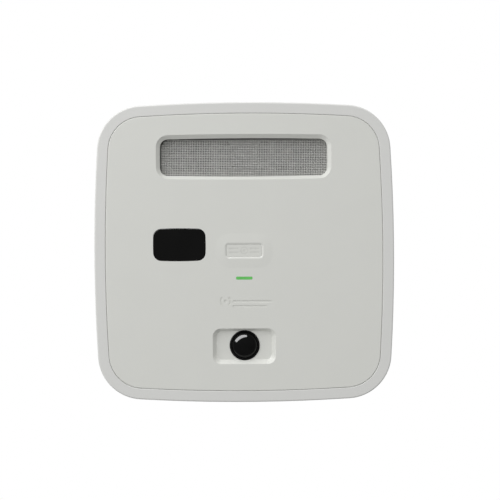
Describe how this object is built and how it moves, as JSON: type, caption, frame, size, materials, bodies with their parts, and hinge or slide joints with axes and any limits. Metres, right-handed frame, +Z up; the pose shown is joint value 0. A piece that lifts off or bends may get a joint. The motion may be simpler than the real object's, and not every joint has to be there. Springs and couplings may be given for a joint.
{
  "type": "carbon monoxide detector",
  "caption": "Square wall-mounted carbon monoxide detector: grille, dark display, test button, status lamp and domed presence lens on a twist-lock bracket.",
  "frame": {"origin": "on the wall, at the centre of the round bracket's back face", "axes": "+X to the right seen from the front, +Z up the wall, +Y into the wall, so the face looks along -Y"},
  "size_m": [0.134, 0.0387, 0.134],
  "materials": {
    "panel_plastic": "fine spark-eroded off-white",
    "bezel_plastic": "fine spark-eroded off-white, a shade cooler",
    "housing_plastic": "satin off-white",
    "bracket_plastic": "satin off-white",
    "button_plastic": "satin off-white",
    "door_plastic": "satin off-white",
    "seal_rubber": "matte",
    "mesh_wire": "grey woven mesh",
    "carrier_plastic": "matte grey",
    "window_black": "deep gloss black",
    "lens_black": "deep gloss, infrared-passing black",
    "ring_black": "satin black",
    "lamp_green": "frosted green light pipe",
    "diode": "clear resin over phosphor",
    "spring_steel": "bright drawn wire",
    "contact_plate": "nickel plated",
    "pin_steel": "ground",
    "screw_steel": "zinc plated",
    "cell_wrap": "printed film over the can",
    "board": "solder mask over glass fibre",
    "display": "dark segment display",
    "chip_black": "moulded epoxy",
    "module_can": "tinned shield",
    "connector_white": "natural nylon",
    "capacitor_can": "bright can",
    "switch_body": "moulded black",
    "plunger": "moulded red",
    "sensor_body": "moulded ivory",
    "sensor_filter": "sintered black",
    "pir_can": "nickel can",
    "basket": "black enamel",
    "magnet": "nickel plated",
    "cone_paper": "pressed black film",
    "coil_copper": "enamelled copper",
    "gasket_foam": "closed-cell foam",
    "siren_plastic": "moulded black",
    "siren_brass": "bright brass",
    "lead_wire": "soft insulated wire"
  },
  "bodies": {
    "wall_mount": {"wall_bracket": "bracket_plastic"},
    "detector": {"battery_contact_lower_link": "contact_plate", "battery_contact_negative_end": "contact_plate", "battery_contact_positive_end": "contact_plate", "battery_contact_upper_link": "contact_plate", "battery_left": "cell_wrap", "battery_middle": "cell_wrap", "battery_right": "cell_wrap", "battery_spring_left": "spring_steel", "battery_spring_middle": "spring_steel", "battery_spring_right": "spring_steel", "bezel_frame": "bezel_plastic", "board_screws": "screw_steel", "capacitor_lower": "capacitor_can", "capacitor_upper": "capacitor_can", "co_sensor_cell": "sensor_body", "co_sensor_filter": "sensor_filter", "control_chip": "chip_black", "display_module": "display", "display_window": "window_black", "dome_lens": "lens_black", "door_hinge_pins": "pin_steel", "front_panel": "panel_plastic", "grille_carrier": "carrier_plastic", "grille_mesh": "mesh_wire", "housing_screws": "screw_steel", "housing_seal": "seal_rubber", "led_light_pipe": "lamp_green", "lens_ring": "ring_black", "main_board": "board", "pir_sensor": "pir_can", "rear_housing": "housing_plastic", "siren_connector": "connector_white", "siren_disc": "siren_brass", "siren_housing": "siren_plastic", "siren_leads": "lead_wire", "speaker_connector": "connector_white", "speaker_frame": "basket", "speaker_gasket": "gasket_foam", "speaker_leads": "lead_wire", "speaker_magnet": "magnet", "status_led": "diode", "tact_switch": "switch_body", "wireless_module": "module_can"},
    "button": {"test_button": "button_plastic"},
    "plunger": {"switch_plunger": "plunger"},
    "door": {"battery_door": "door_plastic"},
    "cone": {"speaker_cone": "cone_paper", "voice_coil": "coil_copper"}
  },
  "joints": [
    {"name": "twist_lock", "type": "hinge", "parent": "wall_mount", "child": "detector", "pos_m": [0, 0, 0], "axis": [0, -1, 0], "range_deg": [0, 15]},
    {"name": "button_press", "type": "slide", "parent": "detector", "child": "button", "axis": [0, 1, 0], "range_m": [0, 0.0006], "stiffness_N_per_m": 3000},
    {"name": "switch_travel", "type": "slide", "parent": "detector", "child": "plunger", "axis": [0, 1, 0], "range_m": [0, 0.0009]},
    {"name": "battery_door_hinge", "type": "hinge", "parent": "detector", "child": "door", "pos_m": [0, -0.0082, 0.0312], "axis": [1, 0, 0], "range_deg": [0, 100]},
    {"name": "cone_travel", "type": "slide", "parent": "detector", "child": "cone", "axis": [0, -1, 0], "range_m": [-0.0004, 0.0004], "stiffness_N_per_m": 1500}
  ],
  "couplings": [
    {"joint": "switch_travel", "follows": "button_press", "ratio": 1}
  ]
}
